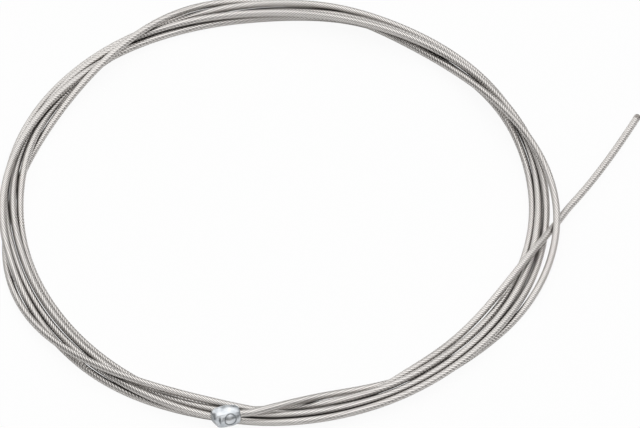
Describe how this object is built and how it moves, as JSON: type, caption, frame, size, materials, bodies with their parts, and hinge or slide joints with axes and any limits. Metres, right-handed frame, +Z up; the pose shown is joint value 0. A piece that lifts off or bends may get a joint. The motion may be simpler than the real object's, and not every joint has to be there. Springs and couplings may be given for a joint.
{
  "type": "bicycle shift cable",
  "caption": "Loose flat coil of stranded steel inner wire for a gear shifter, with a small barrel head on one end and a fused tip on the other.",
  "frame": {"origin": "centre of the bounding box, on the floor plane that the coil lies on", "axes": "+X along the longest extent, from the ring towards the loose end's tip; +Y across the ring, away from the head; +Z up from the floor, across the thin side of the coil"},
  "size_m": [0.1078, 0.0956, 0.0057],
  "materials": {
    "wire_steel": "bright stainless strands, satin",
    "head_zinc": "bluish white satin zinc casting, plain and slightly mottled",
    "fused_end": "melted and dulled steel"
  },
  "bodies": {
    "root": {"cable_strand": "wire_steel", "cable_head": "head_zinc", "fused_tip": "fused_end"}
  },
  "joints": []
}
